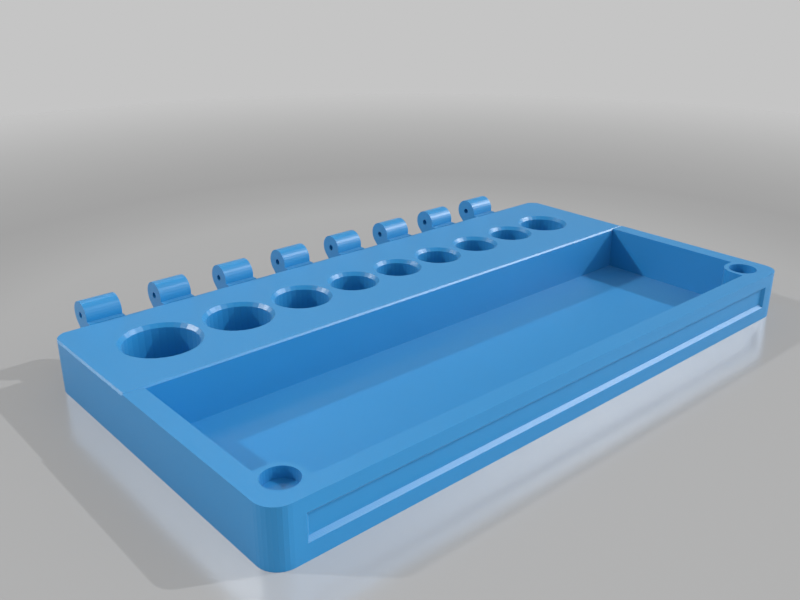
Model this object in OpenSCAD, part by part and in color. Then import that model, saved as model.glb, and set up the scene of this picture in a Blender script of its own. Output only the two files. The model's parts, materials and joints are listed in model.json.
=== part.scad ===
// Base half of a hinged socket storage box, in millimetres.
// A flat floor plate carries a U-shaped wall around an open parts bin, and a socket block
// with nine round wells behind it. Eight hinge knuckles stand out of the block's back.
// X runs from left to right, Y from front to back, and Z is up.
// The origin is the middle of the box's footprint, on the surface that it stands on.

/* [Box] */
// Height of the box, from the surface it stands on to the deck
box_h = 16; // [12:0.5:30]
// Thickness of the floor plate
floor_t = 1; // [0.8:0.1:2]
// Radius of the four upright outer corners
corner_r = 5.75; // [3:0.25:6]
// Width of the floor plate's hidden seat, in from the box's outer faces
plate_inset = 2; // [1.5:0.1:2.5]

/* [Parts bin] */
// Thickness of the left, right and front walls
rim_t = 5.75; // [5:0.05:8]
// Depth of the bin, from the front wall to the socket block
bin_d = 58.75; // [40:0.25:100]

/* [Socket block] */
// Material left in front of and behind the widest well
block_wall = 10.9; // [9:0.05:16]
// Size of the 45 degree bevel round the top of the block
deck_bevel = 0.5; // [0.2:0.1:1]
// Length of the tongue that runs from the block into each side wall
tongue_l = 6; // [4:0.5:10]
// Width of that tongue
tongue_w = 2.5; // [2:0.1:3]
// Wall left over the tongue, so that it doesn't show on the deck
tongue_cover = 4; // [2:0.5:6]

/* [Wells] */
// Bore of well 1, at the left end
well_1_d = 21.7; // [18:0.1:24]
// Bore of well 2
well_2_d = 19.4; // [12:0.1:24]
// Bore of well 3
well_3_d = 17.1; // [12:0.1:24]
// Bore of well 4
well_4_d = 14.8; // [12:0.1:24]
// Bore of well 5
well_5_d = 14.3; // [12:0.1:24]
// Bore of well 6
well_6_d = 14.3; // [12:0.1:24]
// Bore of well 7
well_7_d = 14.3; // [12:0.1:24]
// Bore of well 8
well_8_d = 14.3; // [12:0.1:24]
// Bore of well 9, at the right end
well_9_d = 16.6; // [12:0.1:24]
// Wall of a well's sleeve, and the size of the 45 degree lead-in that takes up its whole top
sleeve_t = 1.1; // [0.6:0.1:1.5]
// Deck between one sleeve and the next
well_gap = 2.45; // [2:0.05:5]
// Deck between the last two sleeves, which stand closer
last_gap = 1.4; // [1:0.1:5]
// Deck from the left end of the box to the first sleeve
left_margin = 10.3; // [8:0.1:20]
// Deck from the last sleeve to the right end of the box
right_margin = 11.15; // [8:0.05:20]

/* [Magnet posts] */
// Bore of the empty pocket for a disc magnet
pocket_d = 9.1; // [6:0.1:10]
// Depth of that pocket
pocket_depth = 3.2; // [2:0.1:6]
// Wall of the post round its pocket
pocket_wall = 1.45; // [1.2:0.05:2.5]
// Skin of the box between a post and the outer faces
post_skin = 3; // [2.8:0.1:4]

/* [Label panel] */
// Height of the panel in the front wall
panel_h = 7.5; // [5:0.5:9]
// Height of the panel's lower edge
panel_low = 4.5; // [3:0.5:6]
// Front wall left at each end of the panel
panel_end = 9.1; // [6:0.1:20]
// Depth of the panel's sunk face, and the size of the 45 degree bevel round it
panel_sink = 1; // [0.5:0.1:1.2]
// Thickness of the panel behind its sunk face
panel_t = 1.5; // [0.8:0.1:1.6]

/* [Hinge knuckles] */
// Outer diameter of a knuckle
knuckle_d = 8.6; // [6:0.1:10]
// Bore for the hinge pin
pin_bore_d = 2; // [1.5:0.1:3]
// Distance of the hinge axis behind the box
axis_back = 6.15; // [5.5:0.05:9]
// Height of the hinge axis over the deck
axis_up = 0.95; // [0.2:0.05:1.5]
// Play at each end of a knuckle that faces a knuckle of the other half
knuckle_play = 0.55; // [0.2:0.05:0.8]
// Length of the tenon that holds a knuckle in the block
tenon_l = 4; // [3:0.5:6]
// Height of that tenon
tenon_h = 4; // [3:0.5:4]
// Shoulder at each side of the tenon
tenon_shoulder = 2; // [1:0.25:3]

/* [Fits] */
// Gap round a piece that is pressed or glued into its seat
fit_gap = 0.02; // [0.01:0.01:0.1]

/* [Hidden] */
$fn = 96;
// How far a cut runs past the face it opens, and a root into the solid that carries it
overrun = 0.5;
plastic_blue = [0.27, 0.56, 0.82];

well_ds = [well_1_d, well_2_d, well_3_d, well_4_d, well_5_d, well_6_d, well_7_d, well_8_d, well_9_d];
well_count = len(well_ds);
last_well = well_count - 1;
// Outer diameter of each sleeve, which is also the diameter of the well's mouth
sleeve_ds = [for (d = well_ds) d + 2 * sleeve_t];
// Deck to the left of each sleeve
gaps = [for (i = [0 : last_well]) i == 0 ? left_margin : i == last_well ? last_gap : well_gap];
function sum_to(list, n) = n < 0 ? 0 : list[n] + sum_to(list, n - 1);
row_w = sum_to(gaps, last_well) + sum_to(sleeve_ds, last_well);

// The box is as wide as its row of wells, and the block as deep as its widest well
box_w = row_w + right_margin;
block_d = max(sleeve_ds) + 2 * block_wall;
box_d = rim_t + bin_d + block_d;
side_x = box_w / 2;
front_y = -box_d / 2;
back_y = box_d / 2;
block_y = back_y - block_d;
well_y = back_y - block_d / 2;
well_xs = [for (i = [0 : last_well])
    sum_to(gaps, i) + sum_to(sleeve_ds, i) - sleeve_ds[i] / 2 - side_x];

// Posts: a pocket, the wall round it and the skin give the distance to both outer faces
post_r = pocket_d / 2 + pocket_wall;
post_in = post_skin + post_r;

panel_w = box_w - 2 * panel_end;
panel_depth = panel_sink + panel_t;

// The hinge divides the box's width into equal slots. The first and the last stay free,
// and the knuckles of this half take every second slot of the rest.
hinge_slots = 18;
knuckle_count = 8;
slot_w = box_w / hinge_slots;
// Left and right ends of each knuckle. The first one has no neighbour on its left.
knuckle_ends = [for (i = [0 : knuckle_count - 1]) [
    (1 + 2 * i) * slot_w - side_x + (i == 0 ? 0 : knuckle_play),
    (2 + 2 * i) * slot_w - side_x - knuckle_play]];
axis_y = back_y + axis_back;
axis_z = box_h + axis_up;
// The point where the bracket's 45 degree underside leaves the knuckle's round back
tangent = knuckle_d / 2 / sqrt(2);
bracket_low = axis_z - tangent - (axis_back + tangent);
tenon_mid = (bracket_low + box_h) / 2;

function names(stem, n) = [for (i = [1 : n]) str(stem, "_", i)];

// Outline of the box, drawn in from its outer faces by inset
module outline(inset) {
    r = corner_r - inset;
    cx = side_x - corner_r;
    cy = back_y - corner_r;
    square([2 * (side_x - inset), 2 * cy], center = true);
    square([2 * cx, 2 * (back_y - inset)], center = true);
    for (sx = [-1, 1], sy = [-1, 1]) translate([sx * cx, sy * cy]) circle(r = r);
}

// The hidden seat under the walls and the block, into which the floor plate is let
module plate_seat() {
    translate([0, 0, -overrun])
        linear_extrude(floor_t + overrun) outline(plate_inset - fit_gap);
}

// A bar along X whose section is drawn with Y across and Z up
module bar_along_x(x0, x1) {
    translate([x0, 0, 0]) rotate([90, 0, 90]) linear_extrude(x1 - x0) children();
}

// A bar along Y whose section is drawn with X across and Z up
module bar_along_y(y0, y1) {
    translate([0, y1, 0]) rotate([90, 0, 0]) linear_extrude(y1 - y0) children();
}

// Tongues on the block's front face, or their slots in the side walls. Their roots run into the
// block.
module tongues(gap) {
    top = box_h - tongue_cover;
    for (s = [-1, 1])
        translate([s * (side_x - rim_t / 2) - tongue_w / 2 - gap, block_y - tongue_l - gap, floor_t])
            cube([tongue_w + 2 * gap, tongue_l + gap + overrun, top - floor_t + gap]);
}

// Square-backed post in plan, rounded only towards the bin, centred on its pocket
module post_plan() {
    circle(r = post_r);
    translate([-post_r, -post_r]) square([2 * post_r, post_r]);
    translate([-post_r, -post_r]) square([post_r, 2 * post_r]);
}

module place_post(side) {
    translate([side * (side_x - post_in), front_y + post_in, 0])
        mirror([side > 0 ? 1 : 0, 0, 0]) children();
}

// Upright wall round the bin on three sides, open at the back where the block closes it
module wall_frame() {
    color(plastic_blue) difference() {
        linear_extrude(box_h) intersection() {
            outline(0);
            translate([-side_x, front_y]) square([box_w, block_y - front_y]);
        }
        translate([-side_x + rim_t, front_y + rim_t, -overrun])
            cube([box_w - 2 * rim_t, bin_d + overrun, box_h + 2 * overrun]);
        plate_seat();
        tongues(fit_gap);
        for (s = [-1, 1]) place_post(s)
            translate([-post_r - fit_gap, -post_r - fit_gap, -overrun])
                cube([2 * (post_r + fit_gap), 2 * (post_r + fit_gap), box_h + 2 * overrun]);
        translate([-panel_w / 2 - fit_gap, front_y - overrun, panel_low - fit_gap])
            cube([panel_w + 2 * fit_gap, panel_depth + overrun + fit_gap, panel_h + 2 * fit_gap]);
    }
}

// One flat plate under the walls and the block: the floor of the bin and of every well
module floor_plate() {
    color(plastic_blue) linear_extrude(floor_t) outline(plate_inset);
}

// Section across a length from a to b, from the floor to the deck, bevelled at both top edges
module bevelled_section(a, b) {
    polygon([
        [a, 0], [b, 0], [b, box_h - deck_bevel],
        [b - deck_bevel, box_h], [a + deck_bevel, box_h], [a, box_h - deck_bevel]]);
}

// Solid block with straight bevels along its four top edges. They run out at the rear corners,
// where the round outline lies inside both of them.
module block_body() {
    intersection() {
        linear_extrude(box_h) outline(0);
        bar_along_y(block_y, back_y) bevelled_section(-side_x, side_x);
        bar_along_x(-side_x, side_x) bevelled_section(block_y, back_y);
    }
}

// Tenon on a knuckle's foot, or its mortise in the back of the block. Its root runs into the
// bracket.
module tenon(ends, gap) {
    side = tenon_shoulder - gap;
    translate([ends[0] + side, back_y - tenon_l - gap, tenon_mid - tenon_h / 2 - gap])
        cube([ends[1] - ends[0] - 2 * side, tenon_l + gap + overrun, tenon_h + 2 * gap]);
}

// Rear block with nine seats for the well sleeves
module socket_block() {
    color(plastic_blue) difference() {
        union() {
            block_body();
            tongues(0);
        }
        plate_seat();
        for (i = [0 : last_well]) translate([well_xs[i], well_y, -overrun])
            cylinder(h = box_h + 2 * overrun, d = sleeve_ds[i] + 2 * fit_gap);
        for (ends = knuckle_ends) tenon(ends, fit_gap);
    }
}

// Sleeve of one well: it stands on the floor plate, and its top is all lead-in
module well_sleeve(i) {
    lip_z = box_h - sleeve_t;
    color(plastic_blue) translate([well_xs[i], well_y, 0]) difference() {
        translate([0, 0, floor_t]) cylinder(h = box_h - floor_t, d = sleeve_ds[i]);
        translate([0, 0, floor_t - overrun]) cylinder(h = box_h, d = well_ds[i]);
        translate([0, 0, lip_z])
            cylinder(h = sleeve_t, d1 = well_ds[i], d2 = sleeve_ds[i]);
    }
}

// Post in a front corner of the bin, with an empty pocket for a disc magnet in its top
module magnet_post(side) {
    color(plastic_blue) place_post(side) difference() {
        translate([0, 0, floor_t]) linear_extrude(box_h - floor_t) post_plan();
        translate([0, 0, box_h - pocket_depth]) cylinder(h = pocket_depth + overrun, d = pocket_d);
    }
}

// Bare panel let into the front wall, its face sunk behind a bevel on all four sides
module label_panel() {
    half = panel_w / 2;
    top = panel_low + panel_h;
    color(plastic_blue) difference() {
        translate([-half, front_y, panel_low]) cube([panel_w, panel_depth, panel_h]);
        intersection() {
            bar_along_x(-half, half) polygon([
                [front_y, panel_low], [front_y + panel_sink, panel_low + panel_sink],
                [front_y + panel_sink, top - panel_sink], [front_y, top]]);
            translate([0, 0, panel_low]) linear_extrude(panel_h) polygon([
                [-half, front_y], [-half + panel_sink, front_y + panel_sink],
                [half - panel_sink, front_y + panel_sink], [half, front_y]]);
        }
    }
}

// Hinge knuckle with its bracket, level with the deck above and sloping at 45 degrees below
module hinge_knuckle(i) {
    ends = knuckle_ends[i];
    color(plastic_blue) difference() {
        union() {
            bar_along_x(ends[0], ends[1]) {
                translate([axis_y, axis_z]) circle(d = knuckle_d);
                polygon([
                    [back_y, bracket_low], [axis_y + tangent, axis_z - tangent],
                    [axis_y, axis_z], [axis_y, box_h], [back_y, box_h]]);
            }
            tenon(ends, 0);
        }
        translate([ends[0] - overrun, axis_y, axis_z]) rotate([0, 90, 0])
            cylinder(h = ends[1] - ends[0] + 2 * overrun, d = pin_bore_d);
    }
}

floor_plate();
wall_frame();
socket_block();
label_panel();
magnet_post(-1);  // magnet_post_left
magnet_post(1);  // magnet_post_right
for (i = [0 : last_well])
    well_sleeve(i);
for (i = [0 : knuckle_count - 1])
    hinge_knuckle(i);
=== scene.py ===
# %% [markdown]
# # A printed socket storage box
#
# The real thing is the lower half of a hinged box that holds sockets upright and small parts
# loose. It is printed in blue plastic with a satin skin, and it stands open and empty.
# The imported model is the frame: its nodes already have the right size and place. This lesson
# dresses them, gives the round pieces the flats that a printed model's curves have, and lights
# the box in a plain studio.

# %% Load the frame
import json
import math

import bmesh
import bpy
from mathutils import Matrix, Vector

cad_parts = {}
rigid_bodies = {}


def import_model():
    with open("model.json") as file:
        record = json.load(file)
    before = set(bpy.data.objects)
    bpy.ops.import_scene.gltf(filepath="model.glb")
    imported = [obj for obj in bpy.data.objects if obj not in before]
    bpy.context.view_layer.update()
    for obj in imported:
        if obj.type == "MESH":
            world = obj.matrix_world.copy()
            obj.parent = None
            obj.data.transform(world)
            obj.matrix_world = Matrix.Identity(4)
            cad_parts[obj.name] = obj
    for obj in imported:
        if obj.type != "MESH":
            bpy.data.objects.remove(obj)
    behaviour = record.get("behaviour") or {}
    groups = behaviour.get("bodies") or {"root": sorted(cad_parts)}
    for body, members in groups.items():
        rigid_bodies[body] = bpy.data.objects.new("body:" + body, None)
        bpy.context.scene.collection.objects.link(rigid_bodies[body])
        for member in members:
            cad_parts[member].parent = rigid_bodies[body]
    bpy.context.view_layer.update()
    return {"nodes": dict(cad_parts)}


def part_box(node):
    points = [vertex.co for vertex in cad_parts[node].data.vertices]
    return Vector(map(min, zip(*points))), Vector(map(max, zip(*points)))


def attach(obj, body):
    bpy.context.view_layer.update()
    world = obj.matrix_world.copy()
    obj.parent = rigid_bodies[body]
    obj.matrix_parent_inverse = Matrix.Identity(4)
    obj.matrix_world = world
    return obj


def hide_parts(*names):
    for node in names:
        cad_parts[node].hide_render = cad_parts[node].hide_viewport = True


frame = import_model()
nodes = frame["nodes"]
MM = 0.001

# %% [markdown]
# ## The camera
#
# A camera is matched by its place, its turn and its lens. The box is seen from its front left
# corner, from a little above, with a short lens that makes the near corner look large.

# %% Place the camera
SENSOR_W = 36.0
LENS = 39.364
EYE = Vector((-177.614, -178.008, 120.034)) * MM
TILT, ROLL, PAN = 67.453, -0.091, -41.408

camera_data = bpy.data.cameras.new("camera")
camera_data.sensor_width = SENSOR_W
camera_data.lens = LENS
camera_data.clip_start = 10 * MM
camera = bpy.data.objects.new("camera", camera_data)
camera.location = EYE
camera.rotation_euler = [math.radians(a) for a in (TILT, ROLL, PAN)]
bpy.context.scene.collection.objects.link(camera)
bpy.context.scene.camera = camera
print("camera stands", round(EYE.length / MM), "mm from the middle of the footprint")

# %% [markdown]
# ## The plastic
#
# One roll of blue filament made the whole box, so every piece has the same blue. Up close a print
# is never one flat colour: the filament is a little lighter in some patches, its skin has a fine
# satin grain, its walls show the layers and its flat tops show the slanting passes of the nozzle.
#
# Each of these effects is a node group with named inputs. A group is built once and placed in
# every material with its own values, which is quicker to change than seven copies. The groups
# read Object coordinates, so a pattern has a real size and stays on its piece.

# %% Two small helpers for nodes
def set_input(tree, node, name, value):
    """Links a value that comes from another node, or writes a plain one."""
    if isinstance(value, bpy.types.NodeSocket):
        tree.links.new(value, node.inputs[name])
    else:
        node.inputs[name].default_value = value


def add(tree, kind, settings=None, **inputs):
    """Adds a node. An input goes by its name, with underscores for spaces, or by its number, as i0."""
    node = tree.nodes.new(kind)
    for name, value in (settings or {}).items():
        setattr(node, name, value)
    for name, value in inputs.items():
        key = int(name[1:]) if name[0] == "i" and name[1:].isdigit() else name.replace("_", " ")
        set_input(tree, node, key, value)
    return node


def new_group(name, inputs, outputs):
    """Makes an empty node group with these sockets, and gives its tree, its inputs and its end."""
    tree = bpy.data.node_groups.new(name, "ShaderNodeTree")
    for socket, kind in inputs.items():
        tree.interface.new_socket(socket, in_out="INPUT", socket_type=kind)
    for socket, kind in outputs.items():
        tree.interface.new_socket(socket, in_out="OUTPUT", socket_type=kind)
    return tree, tree.nodes.new("NodeGroupInput").outputs, tree.nodes.new("NodeGroupOutput")


VECTOR, VALUE, COLOUR = "NodeSocketVector", "NodeSocketFloat", "NodeSocketColor"

# %% [markdown]
# ### Filament tone
#
# The tone drifts by a few per cent over some centimetres. A soft noise makes the patches, and a
# finer one breaks them up. The group puts out the filament's colour, made lighter or darker.

# %% Build the filament tone
tone_group, given, result = new_group(
    "filament_tone", {"Place": VECTOR, "Filament": COLOUR, "Patch": VALUE, "Drift": VALUE},
    {"Color": COLOUR})
patch_scale = add(tone_group, "ShaderNodeMath", {"operation": "DIVIDE"}, i0=1.0, i1=given["Patch"])
patches = add(tone_group, "ShaderNodeTexNoise", Vector=given["Place"],
              Scale=patch_scale.outputs[0], Detail=4.0, Roughness=0.6)
centred = add(tone_group, "ShaderNodeMath", {"operation": "SUBTRACT"}, i0=patches.outputs["Fac"], i1=0.5)
drift = add(tone_group, "ShaderNodeMath", {"operation": "MULTIPLY_ADD"},
            i0=centred.outputs[0], i1=given["Drift"], i2=1.0)
toned = add(tone_group, "ShaderNodeHueSaturation", Color=given["Filament"], Value=drift.outputs[0])
tone_group.links.new(toned.outputs["Color"], result.inputs["Color"])
print("filament tone:", len(tone_group.nodes), "nodes")

# %% [markdown]
# ### Print lines
#
# A wall is a pile of layers, so its height swings once for every layer. A flat top is laid in
# slanting passes, so there the swing runs across the top at 45 degrees. The surface's own normal
# tells which of the two shows: its upright part is 0 on a wall and 1 on a top.

# %% Build the print lines
lines_group, given, result = new_group(
    "print_lines", {"Place": VECTOR, "Layer": VALUE, "Pass": VALUE}, {"Height": VALUE})
place = add(lines_group, "ShaderNodeSeparateXYZ", Vector=given["Place"])
facing = add(lines_group, "ShaderNodeNewGeometry")
facing_parts = add(lines_group, "ShaderNodeSeparateXYZ", Vector=facing.outputs["Normal"])
flatness = add(lines_group, "ShaderNodeMath", {"operation": "ABSOLUTE"}, i0=facing_parts.outputs["Z"])
slant = add(lines_group, "ShaderNodeMath", {"operation": "ADD"},
            i0=place.outputs["X"], i1=place.outputs["Y"])


def ripple(along, pitch):
    """A wave from -1 to 1 that comes round once for each pitch."""
    turns = add(lines_group, "ShaderNodeMath", {"operation": "DIVIDE"}, i0=along, i1=pitch)
    angle = add(lines_group, "ShaderNodeMath", {"operation": "MULTIPLY"}, i0=turns.outputs[0], i1=math.tau)
    return add(lines_group, "ShaderNodeMath", {"operation": "SINE"}, i0=angle.outputs[0]).outputs[0]


lines = add(lines_group, "ShaderNodeMix", Factor=flatness.outputs[0],
            A=ripple(place.outputs["Z"], given["Layer"]), B=ripple(slant.outputs[0], given["Pass"]))
lines_group.links.new(lines.outputs["Result"], result.inputs["Height"])
print("print lines:", len(lines_group.nodes), "nodes")

# %% [markdown]
# ### Satin grain
#
# The skin of the plastic is neither polished nor rough. A fine noise makes it a little smoother
# here and duller there, and the same noise gives the bump its grain.

# %% Build the satin grain
grain_group, given, result = new_group(
    "satin_grain", {"Place": VECTOR, "Grain": VALUE, "Smooth": VALUE, "Dull": VALUE},
    {"Roughness": VALUE, "Height": VALUE})
grain_scale = add(grain_group, "ShaderNodeMath", {"operation": "DIVIDE"}, i0=1.0, i1=given["Grain"])
grain = add(grain_group, "ShaderNodeTexNoise", Vector=given["Place"],
            Scale=grain_scale.outputs[0], Detail=3.0, Roughness=0.5)
satin = add(grain_group, "ShaderNodeMapRange", Value=grain.outputs["Fac"],
            To_Min=given["Smooth"], To_Max=given["Dull"])
grain_group.links.new(satin.outputs["Result"], result.inputs["Roughness"])
grain_group.links.new(grain.outputs["Fac"], result.inputs["Height"])
print("satin grain:", len(grain_group.nodes), "nodes")

# %% [markdown]
# ### One material for each slot
#
# The three groups meet in one function. Each slot gets its own patch size, layer and roughness:
# the floor and the label panel are laid flat and show more of the nozzle's passes, the knuckles
# are small and show more of their layers, and the sleeves are the smoothest.
#
# The floor plate and the label panel show only flat faces, so their solids stay as they are and
# get their plastic here. All the other solids are replaced further down.

# %% Mix the plastics
BLUE = (0.012, 0.245, 0.56)
IOR = 1.45
SHEEN = 0.12
SHEEN_ROUGHNESS = 0.5
BUMP = 0.012 * MM
LINE_SHARE = 0.7
GRAIN = 0.5 * MM
# Patch size, drift, layer, nozzle pass, and the lowest and highest roughness.
# The patch, the layer and the pass are in millimetres.
RECIPES = {
    "floor_plastic": (26, 0.07, 0.2, 0.6, 0.36, 0.44),
    "wall_plastic": (20, 0.06, 0.2, 0.45, 0.35, 0.43),
    "block_plastic": (24, 0.06, 0.2, 0.45, 0.35, 0.43),
    "panel_plastic": (12, 0.06, 0.2, 0.6, 0.36, 0.44),
    "post_plastic": (9, 0.06, 0.2, 0.45, 0.36, 0.44),
    "sleeve_plastic": (10, 0.05, 0.2, 0.45, 0.33, 0.40),
    "knuckle_plastic": (8, 0.07, 0.25, 0.45, 0.35, 0.43),
}


def make_plastic(slot, patch, drift, layer, nozzle_pass, smooth, dull):
    """One slot's material. The even values stand on the shader itself."""
    material = bpy.data.materials.new(slot)
    material.use_nodes = True
    tree = material.node_tree
    shader = tree.nodes["Principled BSDF"]
    shader.inputs["IOR"].default_value = IOR
    shader.inputs["Sheen Weight"].default_value = SHEEN
    shader.inputs["Sheen Roughness"].default_value = SHEEN_ROUGHNESS
    where = add(tree, "ShaderNodeTexCoord").outputs["Object"]
    tone = add(tree, "ShaderNodeGroup", {"node_tree": tone_group}, Place=where,
               Filament=(*BLUE, 1), Patch=patch * MM, Drift=drift)
    lines = add(tree, "ShaderNodeGroup", {"node_tree": lines_group}, Place=where,
                Layer=layer * MM, Pass=nozzle_pass * MM)
    grain = add(tree, "ShaderNodeGroup", {"node_tree": grain_group}, Place=where,
                Grain=GRAIN, Smooth=smooth, Dull=dull)
    relief = add(tree, "ShaderNodeMix", Factor=LINE_SHARE, A=grain.outputs["Height"],
                 B=lines.outputs["Height"])
    bump = add(tree, "ShaderNodeBump", Strength=1.0, Distance=BUMP, Height=relief.outputs["Result"])
    tree.links.new(tone.outputs["Color"], shader.inputs["Base Color"])
    tree.links.new(grain.outputs["Roughness"], shader.inputs["Roughness"])
    tree.links.new(bump.outputs["Normal"], shader.inputs["Normal"])
    return material


plastics = {slot: make_plastic(slot, *recipe) for slot, recipe in RECIPES.items()}
for name, slot in (("floor_plate", "floor_plastic"), ("label_panel", "panel_plastic")):
    nodes[name].data.materials.clear()
    nodes[name].data.materials.append(plastics[slot])
print("plastics:", ", ".join(plastics))

# %% [markdown]
# ## Sizes of the solids
#
# The new pieces repeat the frame's own sizes, in millimetres, so that each stands exactly where
# its solid does. Most of them can be measured on the nodes. The few that a node's box doesn't
# tell, such as the radius of a corner, are written down here. A seat is cut wider than the piece
# in it by a seam that is too fine to see, because the real box is one print.

# %% Measure the frame
def box_mm(name):
    low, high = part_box(name)
    return low / MM, high / MM


wall_low, wall_high = box_mm("wall_frame")
block_high = box_mm("socket_block")[1]
side_x = wall_high.x
front_y = wall_low.y
back_y = block_high.y
deck_z = wall_high.z
block_y = wall_high.y
floor_z = box_mm("floor_plate")[1].z
CORNER_R = 5.75
RIM_T = 5.75
DECK_BEVEL = 0.5
SLEEVE_T = 1.1
SEAM = 0.004
# How far a cutting tool reaches past the face that it opens
OVERRUN = 0.5
# Flats to a full circle
FACETS = 32
print("box", round(2 * side_x, 2), "x", round(back_y - front_y, 2), "x", round(deck_z, 2), "mm")

# %% [markdown]
# ## Tools of the bench
#
# A printed box starts as a model whose circles are polygons, and a print shows them: the near
# corner and the wells have flats, 32 to the full circle. So every round form of the box is made
# with 32 flats and no smoothing. A cube gets its round corners from a bevel with 8 segments, which
# is a quarter of 32, and pockets are cut out with a Boolean.

# %% Make blanks and rods
def blank(low, high):
    """A block between two corners, in millimetres."""
    bm = bmesh.new()
    low, high = Vector(low), Vector(high)
    made = bmesh.ops.create_cube(bm, size=1.0)
    bmesh.ops.scale(bm, vec=high - low, verts=made["verts"])
    bmesh.ops.translate(bm, vec=(low + high) / 2, verts=made["verts"])
    return bm


def rod(radius, low, high, axis="Z", centre=(0, 0)):
    """A 32-sided rod along Z or X. Its corners stand on the radius."""
    bm = bmesh.new()
    made = bmesh.ops.create_cone(
        bm, cap_ends=True, segments=FACETS, radius1=radius, radius2=radius, depth=high - low)
    middle = (low + high) / 2
    if axis == "X":
        bmesh.ops.rotate(bm, cent=(0, 0, 0), matrix=Matrix.Rotation(math.radians(90), 3, "Y"),
                         verts=made["verts"])
        place = (middle, centre[0], centre[1])
    else:
        place = (centre[0], centre[1], middle)
    bmesh.ops.translate(bm, vec=place, verts=made["verts"])
    return bm


# %% Round the upright edges
# Two points that are closer than this, in millimetres, stand on the same spot
HAIR = 1e-3


def round_upright_edges(bm, radius, corners):
    """Rounds the upright edges that stand at these (x, y) corners, with the flats of a print."""
    edges = []
    for edge in bm.edges:
        a, b = (v.co for v in edge.verts)
        upright = (a - b).to_2d().length < HAIR
        if upright and any((a.to_2d() - Vector(c)).length < HAIR for c in corners):
            edges.append(edge)
    bmesh.ops.bevel(bm, geom=edges, offset=radius, offset_type="OFFSET", segments=FACETS // 4,
                    profile=0.5, affect="EDGES", material=-1)


# %% [markdown]
# A Boolean works on objects, so blanks and tools become objects first. A finished piece has its
# doubles merged and its coplanar faces joined, which leaves a clean mesh: each flat of a curve is
# one face. The count of open edges must be 0.

# %% Turn blanks into objects, and cut them
def to_object(bm, name):
    """Turns a bmesh in millimetres into an object in metres, with every face flat."""
    bmesh.ops.scale(bm, vec=(MM, MM, MM), verts=bm.verts)
    bmesh.ops.recalc_face_normals(bm, faces=bm.faces)
    mesh = bpy.data.meshes.new(name)
    bm.to_mesh(mesh)
    bm.free()
    piece = bpy.data.objects.new(name, mesh)
    bpy.context.scene.collection.objects.link(piece)
    return piece


def joined(parts):
    """Several closed blanks as one bmesh."""
    whole = bmesh.new()
    for part in parts:
        shell = bpy.data.meshes.new("shell")
        part.to_mesh(shell)
        part.free()
        whole.from_mesh(shell)
        bpy.data.meshes.remove(shell)
    return whole


def carve(piece, tools, operation="DIFFERENCE"):
    """Cuts the tools out of a piece, or unites them with it, and keeps the plain result."""
    tool = to_object(joined(tools), "tool")
    boolean = piece.modifiers.new("carve", "BOOLEAN")
    boolean.operation = operation
    boolean.solver = "EXACT"
    # The tools may overlap one another
    boolean.use_self = True
    boolean.object = tool
    graph = bpy.context.evaluated_depsgraph_get()
    carved = bpy.data.meshes.new_from_object(piece.evaluated_get(graph))
    piece.modifiers.clear()
    old = piece.data
    piece.data = carved
    carved.name = piece.name
    bpy.data.meshes.remove(old)
    bpy.data.meshes.remove(tool.data)


# %% Finish a piece
SAME_POINT = 0.0005 * MM
SAME_PLANE = math.radians(0.05)


def dress(piece, node, slot):
    """Cleans a piece, gives it its plastic and puts it in place of its node."""
    bm = bmesh.new()
    bm.from_mesh(piece.data)
    bmesh.ops.remove_doubles(bm, verts=bm.verts, dist=SAME_POINT)
    bmesh.ops.dissolve_limit(bm, angle_limit=SAME_PLANE, verts=bm.verts, edges=bm.edges)
    open_edges = sum(not edge.is_manifold for edge in bm.edges)
    bm.to_mesh(piece.data)
    bm.free()
    piece.data.shade_flat()
    piece.data.materials.clear()
    piece.data.materials.append(plastics[slot])
    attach(piece, "root")
    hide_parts(node)
    print(piece.name, len(piece.data.polygons), "faces,", open_edges, "open edges")


# %% [markdown]
# ## The wall frame
#
# Three walls run round the parts bin: left, front and right. The frame is cut from one block with
# two round front corners. The bin goes out of it, then the seat of the floor plate under it, the
# seats of the two posts in its corners and the slot of the label panel in its front. Cutting is
# the plain way here, because every surface of the wall is flat or a run of flats.

# %% Make the wall
POST_R = 6.0
POST_IN = 9.0
PLATE_INSET = 2.0
PLATE_SIDE = side_x - PLATE_INSET + SEAM
PLATE_FRONT = front_y + PLATE_INSET - SEAM
PLATE_BACK = back_y - PLATE_INSET + SEAM
panel_low, panel_high = box_mm("label_panel")

wall_bm = blank((-side_x, front_y, 0), (side_x, block_y, deck_z))
round_upright_edges(wall_bm, CORNER_R, [(-side_x, front_y), (side_x, front_y)])
wall = to_object(wall_bm, "printed_wall")
plate = blank((-PLATE_SIDE, PLATE_FRONT, -OVERRUN), (PLATE_SIDE, block_y + OVERRUN, floor_z))
round_upright_edges(plate, CORNER_R - PLATE_INSET, [(s * PLATE_SIDE, PLATE_FRONT) for s in (-1, 1)])
wall_tools = [
    plate,
    blank((-side_x + RIM_T, front_y + RIM_T, -OVERRUN),
          (side_x - RIM_T, block_y + OVERRUN, deck_z + OVERRUN)),
    blank((panel_low.x - SEAM, front_y - OVERRUN, panel_low.z - SEAM),
          (panel_high.x + SEAM, panel_high.y + SEAM, panel_high.z + SEAM)),
]
for s in (-1, 1):
    x, y = s * (side_x - POST_IN), front_y + POST_IN
    half = POST_R + SEAM
    wall_tools.append(blank((x - half, y - half, -OVERRUN), (x + half, y + half, deck_z + OVERRUN)))
carve(wall, wall_tools)
dress(wall, "wall_frame", "wall_plastic")

# %% [markdown]
# ## The corner posts
#
# A square post fills each front corner of the bin. Only its inner corner is round. A shallow
# round pocket is cut into its top. The corner is rounded before the cut, while the post has just
# four upright edges to choose from.

# %% Make the posts
POCKET_R = 4.55
POCKET_DEPTH = 3.2

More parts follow.
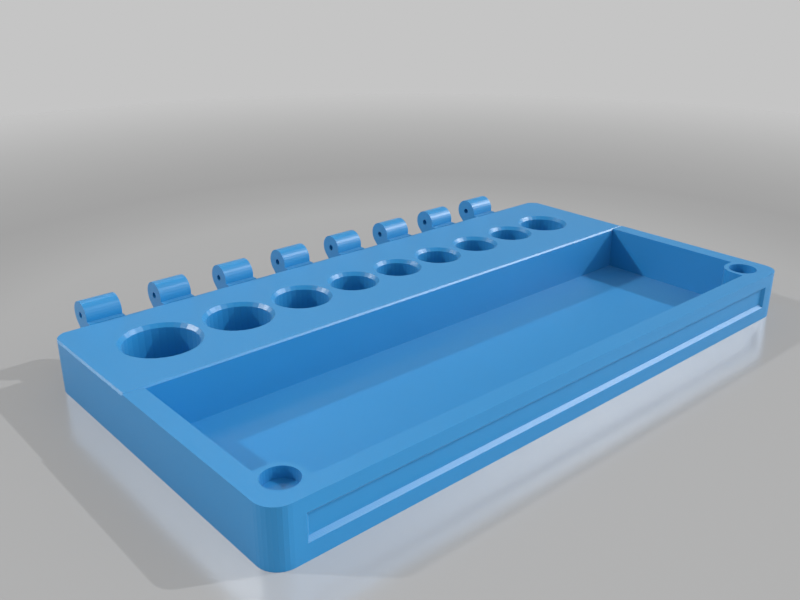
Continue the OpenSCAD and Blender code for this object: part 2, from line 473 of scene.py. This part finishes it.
for side, s in (("left", -1), ("right", 1)):
    low, high = box_mm(f"magnet_post_{side}")
    post_bm = blank(low, high)
    round_upright_edges(post_bm, POST_R, [(high.x if s < 0 else low.x, high.y)])
    post = to_object(post_bm, f"printed_post_{side}")
    centre = ((low.x + high.x) / 2, (low.y + high.y) / 2)
    carve(post, [rod(POCKET_R, deck_z - POCKET_DEPTH, deck_z + OVERRUN, centre=centre)])
    dress(post, f"magnet_post_{side}", "post_plastic")

# %% [markdown]
# ## The socket block
#
# The rear of the box is one solid block. A narrow bevel runs round its top, also along the front
# where it meets the lower bin, and that bevel is the pale line that the light picks out. Four
# slanting planes cut it off, one on each side, and each cut is filled again. A plane keeps the
# bevel at one width where it crosses the round corners. Then a Boolean cuts the seat of the floor
# plate under the block, and the seats of the nine sleeves down through it.

# %% Make the socket block
# A point that is closer to a cutting plane than this, in millimetres, lies on it
ON_PLANE = 1e-5

block_bm = blank((-side_x, block_y, 0), (side_x, back_y, deck_z))
round_upright_edges(block_bm, CORNER_R, [(-side_x, back_y), (side_x, back_y)])
for towards, edge_point in (((-1, 0), (-side_x, 0)), ((1, 0), (side_x, 0)),
                            ((0, -1), (0, block_y)), ((0, 1), (0, back_y))):
    point = Vector((*edge_point, deck_z - DECK_BEVEL))
    normal = Vector((*towards, 1)).normalized()
    cut = bmesh.ops.bisect_plane(
        block_bm, geom=block_bm.verts[:] + block_bm.edges[:] + block_bm.faces[:],
        plane_co=point, plane_no=normal, clear_outer=True, dist=ON_PLANE)
    rim = [e for e in cut["geom_cut"] if isinstance(e, bmesh.types.BMEdge)]
    bmesh.ops.edgeloop_fill(block_bm, edges=rim)
block = to_object(block_bm, "printed_block")
under = blank((-PLATE_SIDE, block_y - OVERRUN, -OVERRUN), (PLATE_SIDE, PLATE_BACK, floor_z))
round_upright_edges(under, CORNER_R - PLATE_INSET, [(s * PLATE_SIDE, PLATE_BACK) for s in (-1, 1)])
block_tools = [under]
sleeve_names = sorted(name for name in nodes if name.startswith("well_sleeve_"))
for name in sleeve_names:
    low, high = box_mm(name)
    block_tools.append(rod((high.x - low.x) / 2 + SEAM, -OVERRUN, deck_z + OVERRUN,
                           centre=((low.x + high.x) / 2, (low.y + high.y) / 2)))
carve(block, block_tools)
dress(block, "socket_block", "block_plastic")

# %% [markdown]
# ## The sleeves of the wells
#
# Each well is a sleeve: a tube with a slanting mouth, which shows as a ring on the deck. It could
# be bored out of a rod, but it is the same all the way round, so it takes no more than the four
# points of its section, spun once about its middle. The spin takes 32 steps, and the flats of all
# wells start at the same side, as on the print.

# %% Make the sleeves
for name in sleeve_names:
    low, high = box_mm(name)
    centre = Vector(((low.x + high.x) / 2, (low.y + high.y) / 2, 0))
    outer = (high.x - low.x) / 2
    bore = outer - SLEEVE_T
    bm = bmesh.new()
    section = [(outer, floor_z), (outer, deck_z), (bore, deck_z - SLEEVE_T), (bore, floor_z)]
    corners = [bm.verts.new((centre.x + r, centre.y, z)) for r, z in section]
    edges = [bm.edges.new((a, b)) for a, b in zip(corners, corners[1:] + corners[:1])]
    bmesh.ops.spin(bm, geom=corners + edges, cent=centre, axis=(0, 0, 1), dvec=(0, 0, 0),
                   angle=math.radians(360), steps=FACETS, use_merge=True)
    sleeve = to_object(bm, name.replace("well_sleeve", "printed_sleeve"))
    dress(sleeve, name, "sleeve_plastic")

# %% [markdown]
# ## The hinge knuckles
#
# Each knuckle is a short rod on a bracket that slopes at 45 degrees, so that it prints without a
# prop. All eight have the same side, so it is worked out once and pushed along the hinge for each
# of them. The rod is united with it, and the bore for the pin goes through both.

# %% Make the knuckles
KNUCKLE_R = 4.3
PIN_R = 1.0
AXIS_BACK = 6.15
AXIS_UP = 0.95

axis = (back_y + AXIS_BACK, deck_z + AXIS_UP)
# The slope leaves the rod where the rod's own side is at 45 degrees
tangent = KNUCKLE_R / math.sqrt(2)
under_rod = (axis[0] + tangent, axis[1] - tangent)
foot_z = under_rod[1] - (AXIS_BACK + tangent)
section = [(back_y, foot_z), under_rod, axis, (axis[0], deck_z), (back_y, deck_z)]
for name in sorted(name for name in nodes if name.startswith("hinge_knuckle_")):
    low, high = box_mm(name)
    bm = bmesh.new()
    face = bm.faces.new([bm.verts.new((low.x, y, z)) for y, z in section])
    grown = bmesh.ops.extrude_face_region(bm, geom=[face])
    bmesh.ops.translate(bm, vec=(high.x - low.x, 0, 0),
                        verts=[v for v in grown["geom"] if isinstance(v, bmesh.types.BMVert)])
    knuckle = to_object(bm, name.replace("hinge", "printed"))
    carve(knuckle, [rod(KNUCKLE_R, low.x, high.x, "X", axis)], "UNION")
    carve(knuckle, [rod(PIN_R, low.x - OVERRUN, high.x + OVERRUN, "X", axis)])
    dress(knuckle, name, "knuckle_plastic")

# %% [markdown]
# ## The studio
#
# The box stands on a plain grey floor that is slightly polished, so it mirrors the walls. The
# floor ends where it meets the pale background. It is a disc, because a square would show its
# corners when the box is seen from other sides.

# %% Lay the floor
FLOOR_R = 485 * MM
FLOOR_SIDES = 256
FLOOR_DROP = 0.02 * MM

floor_mesh = bpy.data.meshes.new("studio_floor")
bm = bmesh.new()
bmesh.ops.create_circle(bm, cap_ends=True, segments=FLOOR_SIDES, radius=FLOOR_R)
bmesh.ops.translate(bm, vec=(0, 0, -FLOOR_DROP), verts=bm.verts)
bm.to_mesh(floor_mesh)
bm.free()
floor = bpy.data.objects.new("studio_floor", floor_mesh)
bpy.context.scene.collection.objects.link(floor)
print("floor disc", round(2 * FLOOR_R / MM), "mm across")

# %% [markdown]
# ### The floor's polish
#
# To the camera the floor is a shiny surface with painted light of its own, an emission that keeps
# its shadows soft and grows towards the rim, so the floor fades into the background. To every other
# ray the floor is plain grey: a lighter one for the light that it throws on the box, and a darker
# one where the plastic mirrors it.

# %% Polish the floor
FLOOR_GREY = 0.28
# Shares of the floor's radius, and the painted light that the floor gives off there
FLOOR_PAINTED_GLOW = ((0.31, 0.18), (0.39, 0.135), (0.45, 0.115), (0.54, 0.135), (0.62, 0.16), (0.74, 0.2),
              (0.87, 0.25), (0.95, 0.275), (1.0, 0.285))
FLOOR_ROUGHNESS = 0.2
FLOOR_IOR = 2.7
FLOOR_BOUNCE = 0.62
FLOOR_MIRRORED = 0.42


def grey_ramp(tree, value, stops):
    """A ramp of greys over a value from 0 to 1, from a list of places and greys."""
    node = add(tree, "ShaderNodeValToRGB", Fac=value)
    while len(node.color_ramp.elements) < len(stops):
        node.color_ramp.elements.new(1.0)
    for element, (place, grey) in zip(node.color_ramp.elements, stops):
        element.position = place
        element.color = (grey, grey, grey, 1)
    return node.outputs["Color"]


floor_material = bpy.data.materials.new("studio_floor")
floor_material.use_nodes = True
tree = floor_material.node_tree
seen = tree.nodes["Principled BSDF"]
seen.inputs["Base Color"].default_value = (FLOOR_GREY, FLOOR_GREY, FLOOR_GREY, 1)
seen.inputs["Roughness"].default_value = FLOOR_ROUGHNESS
seen.inputs["IOR"].default_value = FLOOR_IOR
seen.inputs["Emission Strength"].default_value = 1.0
where = add(tree, "ShaderNodeTexCoord").outputs["Object"]
away = add(tree, "ShaderNodeVectorMath", {"operation": "LENGTH"}, i0=where)
share = add(tree, "ShaderNodeMath", {"operation": "DIVIDE"}, i0=away.outputs["Value"], i1=FLOOR_R)
# Painted light: the floor's emission, which lifts its shadows and brightens towards the rim
painted_floor_glow = grey_ramp(tree, share.outputs[0], FLOOR_PAINTED_GLOW)
set_input(tree, seen, "Emission Color", painted_floor_glow)
path = add(tree, "ShaderNodeLightPath")
plain_grey = add(tree, "ShaderNodeMapRange", Value=path.outputs["Is Glossy Ray"],
                 To_Min=FLOOR_BOUNCE, To_Max=FLOOR_MIRRORED)
plain = add(tree, "ShaderNodeBsdfDiffuse", Color=plain_grey.outputs["Result"])
choice = add(tree, "ShaderNodeMixShader", i0=path.outputs["Is Camera Ray"],
             i1=plain.outputs["BSDF"], i2=seen.outputs["BSDF"])
tree.links.new(choice.outputs["Shader"], tree.nodes["Material Output"].inputs["Surface"])
floor_mesh.materials.append(floor_material)
print("floor polish:", len(tree.nodes), "nodes")

# %% [markdown]
# ## The lamps
#
# Two lamps make the shadows: a crisp one from the right, and a weaker and softer one from behind
# on the left. Gloss is set apart from them. Two of the three gloss lamps stand with them and the
# third stands farther back. They look wider and light nothing but the shine of the plastic, so
# the pale glints on the bevels, rings and knuckles can be set without making the flat tops too
# light. Each lamp has a direction, a strength, a width in degrees and a mark that says whether it
# is for gloss alone.

# %% Hang the lamps
LAMPS = {
    "right_lamp": ((1.163, -0.603, 1.0), 1.75, 0.8, False),
    "back_lamp": ((-1.09, 1.09, 1.0), 1.5, 2.5, False),
    "right_gloss": ((1.163, -0.603, 1.0), 3.3, 24, True),
    "back_gloss": ((-1.09, 1.09, 1.0), 3.5, 20, True),
    "far_gloss": ((0.4, 0.917, 1.5), 0.6, 20, True),
}
box_pieces = bpy.data.collections.new("box_pieces")
for thing in bpy.context.scene.collection.all_objects:
    if thing.type == "MESH" and thing is not floor:
        box_pieces.objects.link(thing)
for lamp_name, (towards, light, spread, gloss_only) in LAMPS.items():
    lamp_data = bpy.data.lights.new(lamp_name, "SUN")
    lamp_data.energy = light
    lamp_data.angle = math.radians(spread)
    lamp = bpy.data.objects.new(lamp_name, lamp_data)
    lamp.rotation_euler = Vector(towards).to_track_quat("Z", "Y").to_euler()
    bpy.context.scene.collection.objects.link(lamp)
    if gloss_only:
        lamp.visible_diffuse = False
        lamp.light_linking.receiver_collection = box_pieces
    else:
        lamp.visible_glossy = False
    print(lamp_name, light, "for gloss" if gloss_only else "for light and shade")

# %% [markdown]
# ## The room
#
# The room is a world without pictures. What it looks like depends on who asks. The camera sees an
# even pale grey. Shiny surfaces see a grey band low down and a dark room above it, which gives the
# plastic and the polished floor their soft shine. All other rays bring soft light: most of it
# comes from low down on the front and right, less from above, and least from the side of the near
# corner.

# %% Light the room
BACKGROUND = 0.558
# The soft light: its strength, how much more comes from one side, and how it fades with height
FILL = 1.16
FILL_FRONT = 1.0
FILL_TOWARDS = (0.3, -0.95, 0.0)
FILL_FADE = (0.25, 0.6)
FILL_TOP = 0.42
# The dim side: where it lies, how far it reaches as a cosine, and how much light it takes away
DARK_TOWARDS = (-0.707, -0.707, 0.0)
DARK_EDGE = 0.62
DARK_SHARE = 0.8
# The sine of a height above the floor, and how bright the room looks there in the polish
MIRRORED = ((0.0, 0.3), (0.15, 0.28), (0.175, 0.22), (0.2, 0.14), (0.223, 0.09), (0.25, 0.06), (0.28, 0.04))

world = bpy.data.worlds.new("studio")
world.use_nodes = True
tree = world.node_tree
direction = add(tree, "ShaderNodeTexCoord").outputs["Generated"]
compass = add(tree, "ShaderNodeSeparateXYZ", Vector=direction)
height = compass.outputs["Z"]
mirrored = grey_ramp(tree, height, MIRRORED)
fill = add(tree, "ShaderNodeMapRange", {"interpolation_type": "SMOOTHSTEP"}, Value=height,
           From_Min=FILL_FADE[0], From_Max=FILL_FADE[1], To_Min=1.0, To_Max=FILL_TOP)
aimed = add(tree, "ShaderNodeVectorMath", {"operation": "DOT_PRODUCT"}, i0=direction, i1=FILL_TOWARDS)
frontness = add(tree, "ShaderNodeMath", {"operation": "MULTIPLY_ADD"}, i0=aimed.outputs["Value"],
                i1=FILL_FRONT, i2=FILL)
dark = add(tree, "ShaderNodeVectorMath", {"operation": "DOT_PRODUCT"}, i0=direction, i1=DARK_TOWARDS)
dark = add(tree, "ShaderNodeMapRange", {"interpolation_type": "SMOOTHSTEP"}, Value=dark.outputs["Value"],
           From_Min=DARK_EDGE, From_Max=1.0, To_Min=1.0, To_Max=1.0 - DARK_SHARE)
fill = add(tree, "ShaderNodeMath", {"operation": "MULTIPLY"}, i0=fill.outputs[0], i1=frontness.outputs[0])
fill = add(tree, "ShaderNodeMath", {"operation": "MULTIPLY"}, i0=fill.outputs[0], i1=dark.outputs[0])
fill_colour = add(tree, "ShaderNodeCombineColor", Red=fill.outputs[0], Green=fill.outputs[0],
                  Blue=fill.outputs[0])
path = add(tree, "ShaderNodeLightPath")
unseen = add(tree, "ShaderNodeMix", {"data_type": "RGBA"})
set_input(tree, unseen, 0, path.outputs["Is Glossy Ray"])
set_input(tree, unseen, 6, fill_colour.outputs["Color"])
set_input(tree, unseen, 7, mirrored)
shown = add(tree, "ShaderNodeMix", {"data_type": "RGBA"})
set_input(tree, shown, 0, path.outputs["Is Camera Ray"])
set_input(tree, shown, 6, unseen.outputs[2])
set_input(tree, shown, 7, (BACKGROUND, BACKGROUND, BACKGROUND, 1))
tree.links.new(shown.outputs[2], tree.nodes["Background"].inputs["Color"])
bpy.context.scene.world = world
bpy.context.scene.view_settings.view_transform = "Standard"
print("room:", len(tree.nodes), "nodes in the world")
